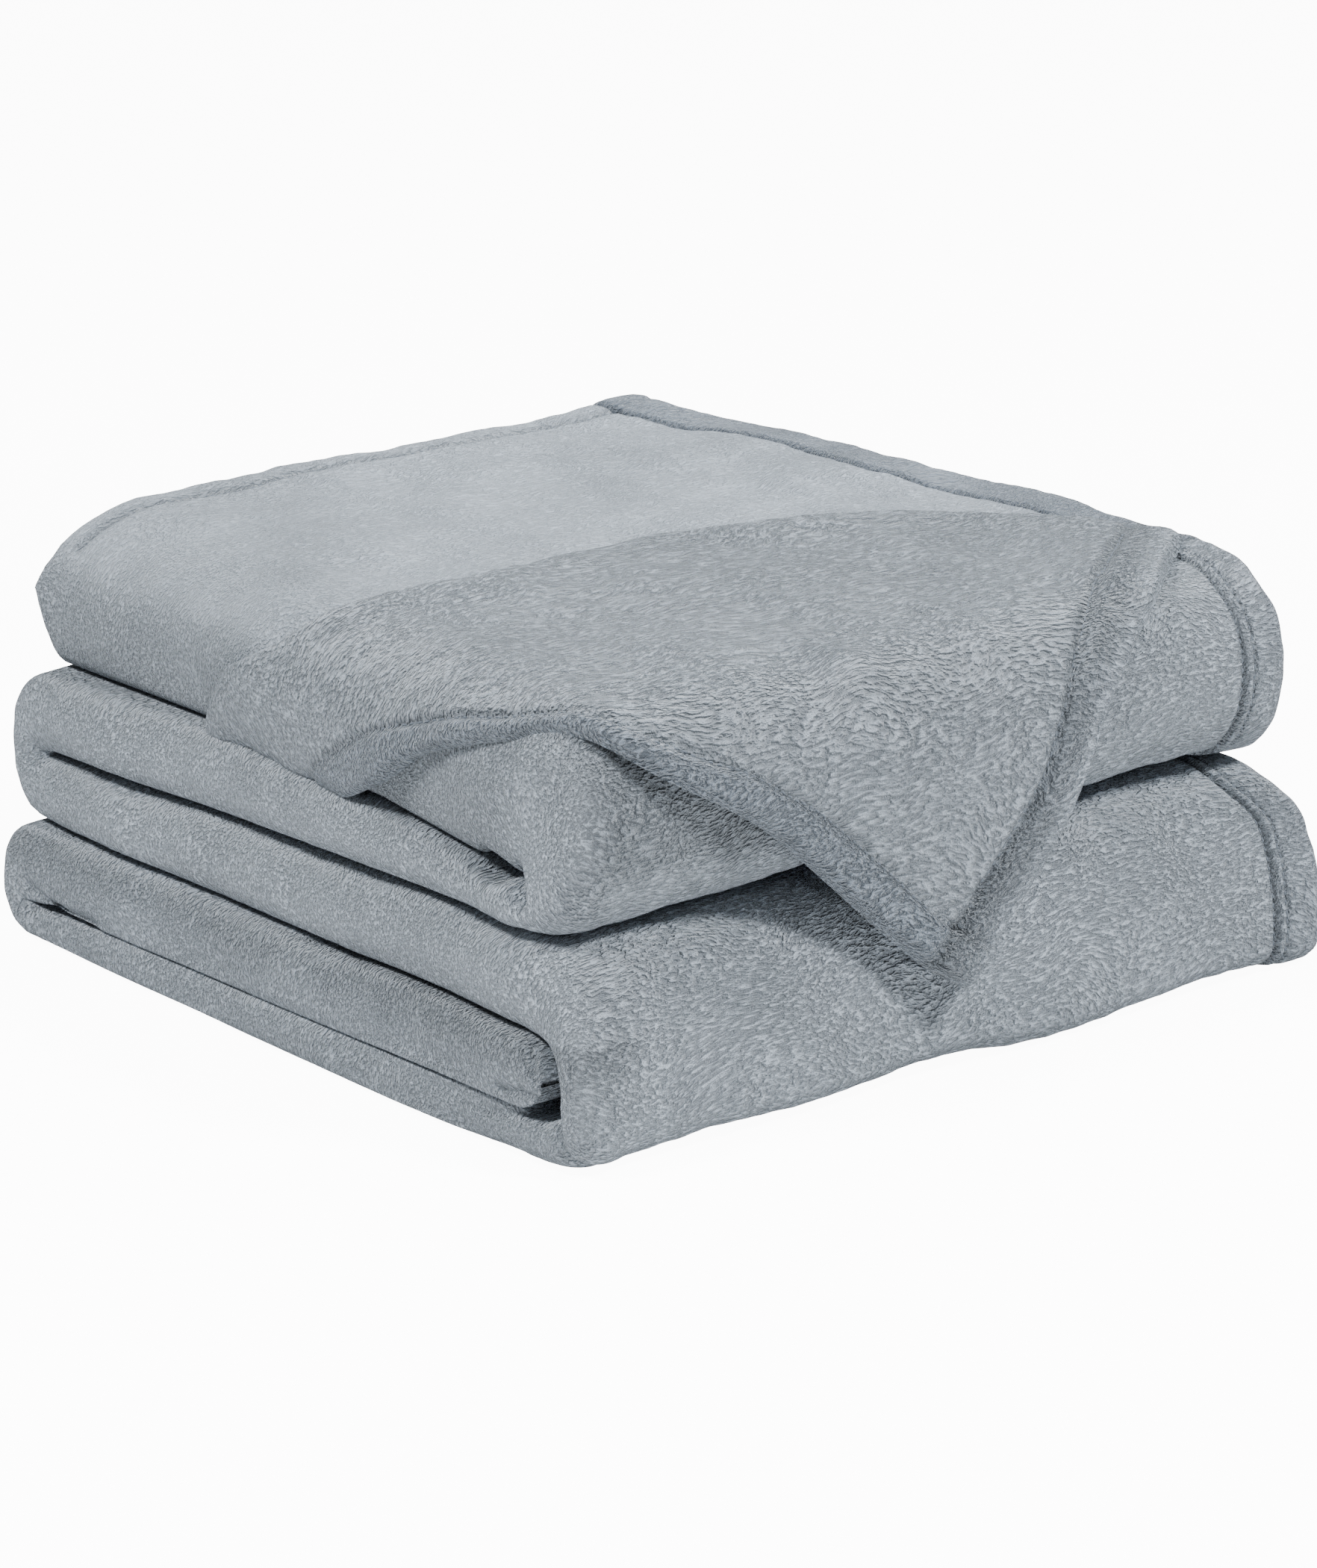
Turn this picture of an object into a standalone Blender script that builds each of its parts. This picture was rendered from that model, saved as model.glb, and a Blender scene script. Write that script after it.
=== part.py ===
"""A fleece throw blanket, folded into a stack of five runs, with its loose corner turned down over the front.

The stack is drawn with x from its left end, y from the front of its runs and z from the surface it lies on.
ORIGIN_SHIFT then moves all of it, so that the world origin is under the middle of the stack.
"""

import math

import bpy
from mathutils import Matrix, Vector

# Driving dimensions, in metres
STACK_LENGTH = 0.380        # lower bundle, left lobes to the hems at its right end
UPPER_SHORTFALL = 0.018     # the upper bundle ends this far short of the lower one
RUN_FRONT = 0.030           # where the flat runs end and the round front folds begin
RUN_BACK = 0.342            # where the flat runs end and the round back folds begin
LOWER_FOLD_FRONT = -0.005   # the lower front fold bulges this far forward
UPPER_FOLD_FRONT = -0.002
BACK_FOLD_REACH = 0.024     # the round back folds bulge this far behind the flat runs
TOP_RUN_OVERHANG = 0.014    # the free end of the strip, which stays short of the back folds

BOTTOM_RUN_HEIGHT = 0.021
INNER_RUN_HEIGHT = 0.028
SECOND_RUN_HEIGHT = 0.0365
THIRD_RUN_HEIGHT = 0.0275
TOP_RUN_HEIGHT = 0.050

HEM_WIDTH = 0.020           # turned hem with its topstitch at the inner edge
HEM_EDGE = 0.004            # rounding of a hem's outer edge
FLAP_THICKNESS = 0.006      # a turned corner of two plies
FLAP_HANG_GAP = 0.002       # between the lower front fold and the hanging tip
THREAD = 0.0008             # topstitch thread
STITCH_INSET = 0.002        # distance of the inner stitch row from the hem's inner edge
STITCH_ROWS_APART = 0.006   # the two rows at the right end of a front fold
FIT = 0.0003                # clearance between neighbours

# Lengths and heights that follow from those of the runs
UPPER_LENGTH = STACK_LENGTH - UPPER_SHORTFALL
BACK_FOLD_BACK = RUN_BACK + BACK_FOLD_REACH
TOP_RUN_BACK = RUN_BACK + TOP_RUN_OVERHANG
INNER_RUN_Z = BOTTOM_RUN_HEIGHT
SECOND_RUN_Z = INNER_RUN_Z + INNER_RUN_HEIGHT
THIRD_RUN_Z = SECOND_RUN_Z + SECOND_RUN_HEIGHT
TOP_RUN_Z = THIRD_RUN_Z + THIRD_RUN_HEIGHT
TOP_Z = TOP_RUN_Z + TOP_RUN_HEIGHT

# The turned corner: its fold line on the top run, and how far its tip hangs
CORNER_FOLD_Y = 0.150
CORNER_FOLD_LEFT = 0.006
CORNER_FOLD_RIGHT = 0.306
CORNER_SHOULDER = (0.332, 0.110)    # right edge on the top, where the side hem starts
CORNER_HEM_AT_FRONT = 0.296         # side hem where it passes over the front edge
CORNER_ARCH = (0.072, 0.074)        # front hem on the top, where it arches over the hollow
CORNER_LEFT_HEM_Y = 0.096
TIP_X = 0.178
TIP_Z = 0.037
TIP_HEM_AT_EDGE = 0.090             # front hem where it passes over the front edge
FLAP_Z = TOP_Z + FIT
TIP_BACK = LOWER_FOLD_FRONT - FLAP_HANG_GAP
TIP_FRONT = TIP_BACK - FLAP_THICKNESS
TIP_TOP = FLAP_Z + FLAP_THICKNESS

FRONT_MOST = TIP_FRONT - FIT - THREAD
ORIGIN_SHIFT = Vector((-STACK_LENGTH / 2, -(FRONT_MOST + BACK_FOLD_BACK) / 2, 0))

ARC_STEPS = 14
LOBE_STEPS = 6
STITCH_START_STEP = 2       # the stitch rows round a fold start and stop this many arc steps from its ends
THREAD_BEVEL = 1            # a thread tube's cross-section has eight sides

# Principled colours and roughness
FLEECE = (0.36, 0.41, 0.46, 1.0)
INNER_FLEECE = (0.30, 0.35, 0.40, 1.0)
HEM = (0.27, 0.32, 0.37, 1.0)
THREAD_COLOUR = (0.16, 0.20, 0.25, 1.0)
FLEECE_ROUGHNESS = 0.95
THREAD_ROUGHNESS = 0.7


def clear_scene():
    for obj in list(bpy.data.objects):
        bpy.data.objects.remove(obj, do_unlink=True)


def blanket_collection():
    collection = bpy.data.collections.new("folded_throw_blanket")
    bpy.context.scene.collection.children.link(collection)
    return collection


def material(name, colour, roughness):
    made = bpy.data.materials.new(name)
    made.use_nodes = True
    shader = made.node_tree.nodes["Principled BSDF"]
    shader.inputs["Base Color"].default_value = colour
    shader.inputs["Roughness"].default_value = roughness
    shader.inputs["Metallic"].default_value = 0.0
    return made


def world_offset(empty):
    """Where a pivot stands in the world: its own place added to those of the pivots it hangs from."""
    total = Vector((0, 0, 0))
    while empty:
        total += empty.location
        empty = empty.parent
    return total


def pivot(collection, name, y, z, parent=None):
    """An empty on a joint's axis, which runs along X through (y, z)."""
    empty = bpy.data.objects.new(name, None)
    collection.objects.link(empty)
    empty.location = Vector((0, y + ORIGIN_SHIFT.y, z)) - world_offset(parent)
    empty.parent = parent
    return empty


# The three planes an outline is drawn in, with the direction it is extruded along
PLANES = {
    "YZ": Matrix(((0, 0, 1, 0), (1, 0, 0, 0), (0, 1, 0, 0), (0, 0, 0, 1))),
    "XZ": Matrix(((1, 0, 0, 0), (0, 0, -1, 0), (0, 1, 0, 0), (0, 0, 0, 1))),
    "XY": Matrix.Identity(4),
}
NORMALS = {"YZ": Vector((1, 0, 0)), "XZ": Vector((0, 1, 0)), "XY": Vector((0, 0, 1))}


class Blanket:
    """The blanket's pieces, each in its own object, under the pivot of the body it belongs to."""

    def __init__(self, collection):
        self.collection = collection
        self.owner = None

    def place(self, obj, matrix, finish):
        self.collection.objects.link(obj)
        obj.data.materials.append(finish)
        obj.parent = self.owner
        obj.matrix_local = Matrix.Translation(-world_offset(self.owner)) @ matrix
        return obj

    def extrude(self, name, plane, outline, start, end, finish):
        """A flat outline in one plane, made solid from start to end along the plane's normal."""
        curve = bpy.data.curves.new(name, "CURVE")
        curve.dimensions = "2D"
        curve.fill_mode = "BOTH"
        curve.extrude = (end - start) / 2
        spline = curve.splines.new("POLY")
        spline.points.add(len(outline) - 1)
        for point, (u, v) in zip(spline.points, outline):
            point.co = (u, v, 0, 1)
        spline.use_cyclic_u = True
        middle = NORMALS[plane] * (start + end) / 2 + ORIGIN_SHIFT
        obj = bpy.data.objects.new(name, curve)
        return self.place(obj, Matrix.Translation(middle) @ PLANES[plane], finish)

    def thread(self, name, points, finish):
        """A line of topstitching, as a thin tube through the points."""
        curve = bpy.data.curves.new(name, "CURVE")
        curve.dimensions = "3D"
        curve.bevel_depth = THREAD / 2
        curve.bevel_resolution = THREAD_BEVEL
        curve.use_fill_caps = True
        spline = curve.splines.new("POLY")
        spline.points.add(len(points) - 1)
        for point, (x, y, z) in zip(spline.points, points):
            point.co = (x, y, z, 1)
        obj = bpy.data.objects.new(name, curve)
        return self.place(obj, Matrix.Translation(ORIGIN_SHIFT), finish)


def lobed(left, right, low, high):
    """An XZ outline, square at the right and ending at the left in the round lobe of a folded edge."""
    half = (high - low) / 2
    middle = (high + low) / 2
    lobe = []
    for step in range(LOBE_STEPS + 1):
        angle = math.radians(90 + 180 * step / LOBE_STEPS)
        lobe.append((left + half + half * math.cos(angle), middle + half * math.sin(angle)))
    return lobe + [(right, low), (right, high)]


def fold_arc(straight_y, round_y, low, high, proud=0.0):
    """Points of a round fold's outside, top to bottom, in YZ: from straight_y out to round_y and back."""
    reach = round_y - straight_y
    reach += math.copysign(proud, reach)
    half = (high - low) / 2 + proud
    middle = (high + low) / 2
    points = []
    for step in range(ARC_STEPS + 1):
        angle = math.pi * step / ARC_STEPS
        points.append((straight_y + reach * math.sin(angle), middle + half * math.cos(angle)))
    return points


def hem_outline(inner, outer, low, high):
    """A hem's cross-section: square where it meets the cloth, eased along its outer edge."""
    ease = math.copysign(min(HEM_EDGE, (high - low) / 3), outer - inner)
    return [
        (inner, low),
        (outer - ease, low),
        (outer, low + abs(ease)),
        (outer, high - abs(ease)),
        (outer - ease, high),
        (inner, high),
    ]


def inset(path, distance):
    """The path moved to its left by a distance, with mitred corners."""
    moved = []
    for index, here in enumerate(path):
        before = path[max(index - 1, 0)]
        after = path[min(index + 1, len(path) - 1)]
        sides = []
        for start, end in ((before, here), (here, after)):
            run = Vector((end[0] - start[0], end[1] - start[1]))
            if run.length > 0:
                run.normalize()
                sides.append(Vector((-run.y, run.x)))
        across = sum(sides, Vector((0, 0))).normalized()
        across *= distance / across.dot(sides[0])
        moved.append((here[0] + across.x, here[1] + across.y))
    return moved


def meet(a, b, c, d):
    """Where the line through a and b crosses the line through c and d."""
    first = Vector((b[0] - a[0], b[1] - a[1]))
    second = Vector((d[0] - c[0], d[1] - c[1]))
    offset = Vector((c[0] - a[0], c[1] - a[1]))
    share = offset.cross(second) / first.cross(second)
    return (a[0] + first.x * share, a[1] + first.y * share)


def run(blanket, name, right, low, high, finish, front=RUN_FRONT, back=RUN_BACK):
    """One flat run of the folded strip, with the clearance it keeps to the runs below and above."""
    outline = lobed(0.0, right, low, high - FIT)
    return blanket.extrude(name, "XZ", outline, front + FIT, back, finish)


def side_hem(blanket, name, end, low, high, finish, back=RUN_BACK):
    outline = hem_outline(end - HEM_WIDTH + FIT, end, low, high - FIT)
    return blanket.extrude(name, "XZ", outline, RUN_FRONT + FIT, back, finish)


def front_fold(blanket, prefix, end, low, high, reach, fleece, hem, thread):
    """The round fold at the front of a bundle, its side hem, and the two stitch rows round that hem."""
    outline = fold_arc(RUN_FRONT, reach, low, high)
    hem_start = end - HEM_WIDTH
    blanket.extrude(prefix + "_front_fold", "YZ", outline, 0.0, hem_start, fleece)
    blanket.extrude(prefix + "_fold_side_hem", "YZ", outline, hem_start + FIT, end, hem)
    path = fold_arc(RUN_FRONT, reach, low, high, proud=FIT + THREAD / 2)
    stitched = path[STITCH_START_STEP:-STITCH_START_STEP]
    for row, name in enumerate(("inner", "outer")):
        x = hem_start + STITCH_INSET + row * STITCH_ROWS_APART
        points = [(x, y, z) for y, z in stitched]
        blanket.thread(f"{prefix}_fold_{name}_stitching", points, thread)


def lower_bundle(blanket, finishes):
    """The part that stays put: bottom run, the inner run wrapped in it, and the second run."""
    fleece, inner, hem, thread = finishes
    hem_start = STACK_LENGTH - HEM_WIDTH
    run(blanket, "bottom_run", hem_start, 0.0, INNER_RUN_Z, fleece)
    run(blanket, "second_run", hem_start, SECOND_RUN_Z, THIRD_RUN_Z, fleece)
    end_hem_back = RUN_FRONT + HEM_WIDTH
    run(blanket, "inner_run", hem_start, INNER_RUN_Z, SECOND_RUN_Z, inner, front=end_hem_back)
    end_hem = lobed(0.0, hem_start, INNER_RUN_Z, SECOND_RUN_Z - FIT)
    blanket.extrude("inner_end_hem", "XZ", end_hem, RUN_FRONT + FIT, end_hem_back, hem)
    side_hem(blanket, "bottom_side_hem", STACK_LENGTH, 0.0, INNER_RUN_Z, hem)
    side_hem(blanket, "inner_side_hem", STACK_LENGTH, INNER_RUN_Z, SECOND_RUN_Z, hem)
    side_hem(blanket, "second_side_hem", STACK_LENGTH, SECOND_RUN_Z, THIRD_RUN_Z, hem)
    top = THIRD_RUN_Z - FIT
    front_fold(blanket, "lower", STACK_LENGTH, 0.0, top, LOWER_FOLD_FRONT, fleece, hem, thread)
    lower_back = fold_arc(RUN_BACK + FIT, BACK_FOLD_BACK, 0.0, SECOND_RUN_Z - FIT)
    blanket.extrude("lower_back_fold", "YZ", lower_back, 0.0, STACK_LENGTH, fleece)
    half = fold_arc(RUN_BACK + FIT, BACK_FOLD_BACK, SECOND_RUN_Z, 2 * THIRD_RUN_Z - SECOND_RUN_Z)
    quarter = half[len(half) // 2:]
    quarter = [(y, min(z, THIRD_RUN_Z - FIT)) for y, z in quarter]
    quarter.append((RUN_BACK + FIT, THIRD_RUN_Z - FIT))
    blanket.extrude("second_run_back_fold", "YZ", quarter, 0.0, STACK_LENGTH, fleece)


def upper_bundle(blanket, finishes):
    """The part that turns back over the middle back fold: third run, top run and their front fold."""
    fleece, _, hem, thread = finishes
    hem_start = UPPER_LENGTH - HEM_WIDTH
    back_hem_start = TOP_RUN_BACK - HEM_WIDTH
    run(blanket, "third_run", hem_start, THIRD_RUN_Z, TOP_RUN_Z, fleece)
    run(blanket, "top_run", hem_start, TOP_RUN_Z, TOP_Z + FIT, fleece, back=back_hem_start)
    side_hem(blanket, "third_side_hem", UPPER_LENGTH, THIRD_RUN_Z, TOP_RUN_Z, hem)
    side_hem(blanket, "top_side_hem", UPPER_LENGTH, TOP_RUN_Z, TOP_Z + FIT, hem, back=back_hem_start)
    back_outline = hem_outline(back_hem_start + FIT, TOP_RUN_BACK, TOP_RUN_Z, TOP_Z)
    blanket.extrude("top_back_hem", "YZ", back_outline, TOP_RUN_HEIGHT / 2, UPPER_LENGTH, hem)
    front_fold(blanket, "upper", UPPER_LENGTH, THIRD_RUN_Z, TOP_Z, UPPER_FOLD_FRONT, fleece, hem, thread)
    half = fold_arc(RUN_BACK + FIT, BACK_FOLD_BACK, 2 * THIRD_RUN_Z - TOP_RUN_Z, TOP_RUN_Z - FIT)
    quarter = half[:len(half) // 2 + 1]
    quarter = [(y, max(z, THIRD_RUN_Z)) for y, z in quarter]
    quarter.append((RUN_BACK + FIT, THIRD_RUN_Z))
    blanket.extrude("third_run_back_fold", "YZ", quarter, 0.0, UPPER_LENGTH, fleece)
    over = TOP_Z + FIT + THREAD / 2
    side_x = hem_start + STITCH_INSET
    back_y = back_hem_start + STITCH_INSET
    side_points = [(side_x, CORNER_FOLD_Y + HEM_WIDTH, over), (side_x, back_y - THREAD - FIT, over)]
    back_points = [(TOP_RUN_HEIGHT, back_y, over), (UPPER_LENGTH - HEM_EDGE, back_y, over)]
    blanket.thread("top_side_stitching", side_points, thread)
    blanket.thread("top_back_stitching", back_points, thread)


def turned_corner(blanket, finishes):
    """The part of the loose corner that lies on the top run, between its fold line and the front edge."""
    fleece, _, hem, thread = finishes
    low = FLAP_Z
    high = TIP_TOP
    edge_y = TIP_BACK + FIT
    side = [(CORNER_HEM_AT_FRONT, edge_y), CORNER_SHOULDER, (CORNER_FOLD_RIGHT, CORNER_FOLD_Y)]
    front = [(CORNER_FOLD_LEFT, CORNER_LEFT_HEM_Y), CORNER_ARCH, (TIP_HEM_AT_EDGE, edge_y)]
    side_inner = inset(side, HEM_WIDTH)
    side_gap = inset(side, HEM_WIDTH + FIT)
    front_inner = inset(front, HEM_WIDTH)
    front_gap = inset(front, HEM_WIDTH + FIT)
    far = ((0.0, CORNER_FOLD_Y), (STACK_LENGTH, CORNER_FOLD_Y))
    near = ((0.0, edge_y), (STACK_LENGTH, edge_y))
    left = ((CORNER_FOLD_LEFT, 0.0), (CORNER_FOLD_LEFT, CORNER_FOLD_Y))

    def trimmed(path, first, last):
        """The path with its ends slid along their own segments onto the first and last lines."""
        start = meet(path[0], path[1], *first)
        end = meet(path[-2], path[-1], *last)
        return [start, *path[1:-1], end]

    side_inner = trimmed(side_inner, near, far)
    side_gap = trimmed(side_gap, near, far)
    front_inner = trimmed(front_inner, left, near)
    front_gap = trimmed(front_gap, left, near)
    blanket.extrude("corner_side_hem", "XY", side + side_inner[::-1], low, high, hem)
    blanket.extrude("corner_front_hem", "XY", front + front_inner[::-1], low, high, hem)
    panel = front_gap + side_gap + [(CORNER_FOLD_LEFT, CORNER_FOLD_Y)]
    blanket.extrude("corner_panel", "XY", panel, low, high, fleece)
    over = high + FIT + THREAD / 2
    for name, path, first, last in (
        ("corner_side_stitching", side, near, far),
        ("corner_front_stitching", front, left, near),
    ):
        row = trimmed(inset(path, HEM_WIDTH - STITCH_INSET), first, last)
        blanket.thread(name, [(x, y, over) for x, y in row], thread)


def hanging_tip(blanket, finishes):
    """The point of the loose corner, hanging down in front of both bundles."""
    fleece, _, hem, thread = finishes
    tip = (TIP_X, TIP_Z)
    side = [tip, (CORNER_HEM_AT_FRONT, TIP_TOP)]
    front = [(TIP_HEM_AT_EDGE, TIP_TOP), tip]
    top = ((0.0, TIP_TOP), (STACK_LENGTH, TIP_TOP))
    side_inner = inset(side, HEM_WIDTH)
    front_inner = inset(front, HEM_WIDTH)
    corner = meet(*side_inner, *front_inner)
    side_top = meet(*side_inner, *top)
    front_top = meet(*front_inner, *top)
    blanket.extrude("tip_side_hem", "XZ", [tip, side[1], side_top, corner], TIP_FRONT, TIP_BACK, hem)
    front_gap = inset([tip, corner], FIT)
    front_strip = [front[0], meet(*front, *front_gap), meet(*front_inner, *front_gap), front_top]
    blanket.extrude("tip_front_hem", "XZ", front_strip, TIP_FRONT, TIP_BACK, hem)
    side_gap = inset(side, HEM_WIDTH + FIT)
    panel_gap = inset(front, HEM_WIDTH + FIT)
    point = meet(*side_gap, *panel_gap)
    panel = [point, meet(*side_gap, *top), meet(*panel_gap, *top)]
    blanket.extrude("tip_panel", "XZ", panel, TIP_FRONT, TIP_BACK, fleece)
    over = TIP_FRONT - FIT - THREAD / 2
    side_row = inset(side, HEM_WIDTH - STITCH_INSET)
    front_row = inset(front, HEM_WIDTH - STITCH_INSET)
    crossing = Vector(meet(*side_row, *front_row))
    for name, row in (("tip_side_stitching", side_row), ("tip_front_stitching", front_row)):
        upper = Vector(meet(*row, *top))
        lower = crossing + (upper - crossing).normalized() * 2 * THREAD
        blanket.thread(name, [(x, over, z) for x, z in (upper, lower)], thread)


def main():
    clear_scene()
    collection = blanket_collection()
    blanket = Blanket(collection)
    finishes = (
        material("fleece", FLEECE, FLEECE_ROUGHNESS),
        material("inner_fleece", INNER_FLEECE, FLEECE_ROUGHNESS),
        material("hem_fleece", HEM, FLEECE_ROUGHNESS),
        material("thread", THREAD_COLOUR, THREAD_ROUGHNESS),
    )
    stack = pivot(collection, "stack_pivot", 0.0, 0.0)
    unfold = pivot(collection, "upper_stack_pivot", BACK_FOLD_BACK + FIT, THIRD_RUN_Z - FIT / 2)
    lift = pivot(collection, "turned_corner_pivot", CORNER_FOLD_Y, TIP_TOP + FIT + THREAD, unfold)
    straighten = pivot(collection, "hanging_tip_pivot", TIP_BACK, TIP_TOP, lift)
    blanket.owner = stack
    lower_bundle(blanket, finishes)
    blanket.owner = unfold
    upper_bundle(blanket, finishes)
    blanket.owner = lift
    turned_corner(blanket, finishes)
    blanket.owner = straighten
    hanging_tip(blanket, finishes)


main()
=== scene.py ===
"""Looks for a folded fleece throw blanket with its loose corner turned down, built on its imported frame."""

import math
from functools import partial

import bpy
import numpy as np
from mathutils import Matrix, Vector


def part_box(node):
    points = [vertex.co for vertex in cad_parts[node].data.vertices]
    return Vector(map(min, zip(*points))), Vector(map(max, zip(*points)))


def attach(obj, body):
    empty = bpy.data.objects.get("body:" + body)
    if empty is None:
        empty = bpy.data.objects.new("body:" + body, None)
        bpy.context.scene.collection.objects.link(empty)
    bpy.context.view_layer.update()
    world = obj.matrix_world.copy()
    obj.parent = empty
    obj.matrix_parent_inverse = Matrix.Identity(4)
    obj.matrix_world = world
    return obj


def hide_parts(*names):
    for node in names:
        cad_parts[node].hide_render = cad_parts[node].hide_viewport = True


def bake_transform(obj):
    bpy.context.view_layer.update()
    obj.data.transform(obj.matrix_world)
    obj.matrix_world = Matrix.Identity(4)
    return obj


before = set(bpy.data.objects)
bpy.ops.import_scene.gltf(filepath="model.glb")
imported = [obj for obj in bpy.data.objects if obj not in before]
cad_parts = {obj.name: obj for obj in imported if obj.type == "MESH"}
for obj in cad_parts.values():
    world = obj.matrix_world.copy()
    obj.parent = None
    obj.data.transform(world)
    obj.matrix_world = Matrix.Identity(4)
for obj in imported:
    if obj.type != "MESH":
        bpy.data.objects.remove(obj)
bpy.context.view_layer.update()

# The blanket is drawn with x from its left end, y from its front and z from the floor, in metres
ORIGIN = np.array([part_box("bottom_run")[0].x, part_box("lower_front_fold")[0].y, 0.0])

LEFT_INSET = {"bottom": -0.002, "second": 0.002, "third": 0.003}
TOP_INSET = [(0.0, 0.005), (0.15, 0.007), (0.25, 0.011), (0.36, 0.016)]    # along the top run, from its front
TOP_SHOULDER = [(0.0, 0.026), (0.10, 0.034), (0.36, 0.055)]     # depth of its left lobe's upper half
TOP_LOBE = 0.012                                                # and of its lower half
LOWER_END = 0.379
UPPER_END = 0.362
BACK = 0.347                # flat runs end and the back folds begin
LOWER_FRONT = 0.035         # the front folds begin
UPPER_FRONT = 0.045
TOP_BACK = 0.361
END_ROUND = 0.012           # length of the top run's rounded back end
HEM = 0.0195                # turned hem, inside its topstitch
ROWS_APART = 0.0055         # the second stitch row round the front folds
FLAP = 0.0055               # thickness of the turned corner
ROUND = 0.032               # the upper front fold rounds off in front of this
TOP_OBLIQUE = 0.040         # how far the top run's right edge draws in at its back


def smooth(x, low, high):
    t = np.clip((np.asarray(x, float) - low) / (high - low), 0.0, 1.0)
    return t * t * (3 - 2 * t)


def bump(x, middle, width):
    return np.exp(-((np.asarray(x, float) - middle) / width) ** 2)


class Waves:
    """Smooth noise in space, a sum of seeded sine waves about one wavelength."""

    def __init__(self, seed, wavelength, count=24):
        rng = np.random.default_rng(seed)
        direction = rng.normal(size=(count, 3))
        direction /= np.linalg.norm(direction, axis=1)[:, None]
        self.k = direction * (2 * math.pi / (wavelength * rng.uniform(0.7, 1.5, count)))[:, None]
        self.phase = rng.uniform(0, 2 * math.pi, count)
        self.scale = math.sqrt(2 / count)

    def __call__(self, points):
        total = np.zeros(points.shape[:-1])
        for k, phase in zip(self.k, self.phase):
            total += np.sin(points @ k + phase)
        return total * self.scale


SWELL = Waves(11, 0.085)
RIPPLE = Waves(12, 0.024)
PILE = Waves(13, 0.0075)


# ---- Section through the folded strip: each spoke runs from side a to side b of the strip ----

def line(points, at):
    points = np.array(points, float)
    return np.interp(at, points[:, 0], points[:, 1])


def height_at(points, y):
    return float(line(points, y))


LEFT_LEVELS = {
    "first": [(0.02, 0.0200), (0.35, 0.0150)],
    "second": [(0.0, 0.0470), (0.35, 0.0465)],
    "third": [(0.03, 0.0825), (0.15, 0.0815), (0.35, 0.0745)],
    "fourth": [(0.045, 0.1010), (0.08, 0.1045), (0.13, 0.1095), (0.22, 0.1125), (0.35, 0.1085)],
    "top": [(0.0, 0.1650), (0.12, 0.1680), (0.25, 0.1700), (0.35, 0.1710)],
}
RIGHT_LEVELS = {
    "first": [(0.0, 0.0203), (0.35, 0.0203)],
    "second": [(0.0, 0.0480), (0.35, 0.0480)],
    "third": [(0.0, 0.0855), (0.35, 0.0840)],
    "fourth": [(0.0, 0.1130), (0.35, 0.1120)],
    "top": [(0.0, 0.1650), (0.12, 0.1680), (0.25, 0.1695), (0.35, 0.1695)],
}
SEAM = 0.0004               # half the space between two runs
BUNDLE_SEAM = 0.0010        # half the space between the two bundles


def arc(middle_y, reach, low, high, count, power=2.3):
    """A round fold's outside from low to high, as (y, z) points at even angles."""
    angle = np.linspace(-math.pi / 2, math.pi / 2, count)
    c, s = np.cos(angle), np.sin(angle)
    y = middle_y + reach * np.abs(c) ** (2 / power)
    z = (low + high) / 2 + (high - low) / 2 * np.sign(s) * np.abs(s) ** (2 / power)
    return np.stack([y, z], 1)


def evened(points, count):
    """The path resampled at even steps."""
    points = np.asarray(points, float)
    along = np.concatenate([[0], np.cumsum(np.linalg.norm(np.diff(points, axis=0), axis=1))])
    at = np.linspace(0, along[-1], count)
    return np.stack([np.interp(at, along, points[:, i]) for i in range(points.shape[1])], 1)


def rounded_path(points, count):
    """A smooth curve through given points, at even steps."""
    points = np.asarray(points, float)
    ends = np.vstack([2 * points[0] - points[1], points, 2 * points[-1] - points[-2]])
    fine = []
    for i in range(1, len(ends) - 2):
        p0, p1, p2, p3 = ends[i - 1], ends[i], ends[i + 1], ends[i + 2]
        for t in np.linspace(0, 1, 24, endpoint=False):
            fine.append(0.5 * (2 * p1 + (p2 - p0) * t + (2 * p0 - 5 * p1 + 4 * p2 - p3) * t * t
                               + (3 * p1 - p0 - 3 * p2 + p3) * t ** 3))
    fine.append(points[-1])
    return evened(fine, count)


def flat_run(levels, low_name, high_name, ys, low_gap, high_gap, a_is_low):
    low = np.stack([ys, line(levels[low_name], ys) + low_gap], 1)
    high = np.stack([ys, line(levels[high_name], ys) - high_gap], 1)
    return (low, high) if a_is_low else (high, low)


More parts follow.
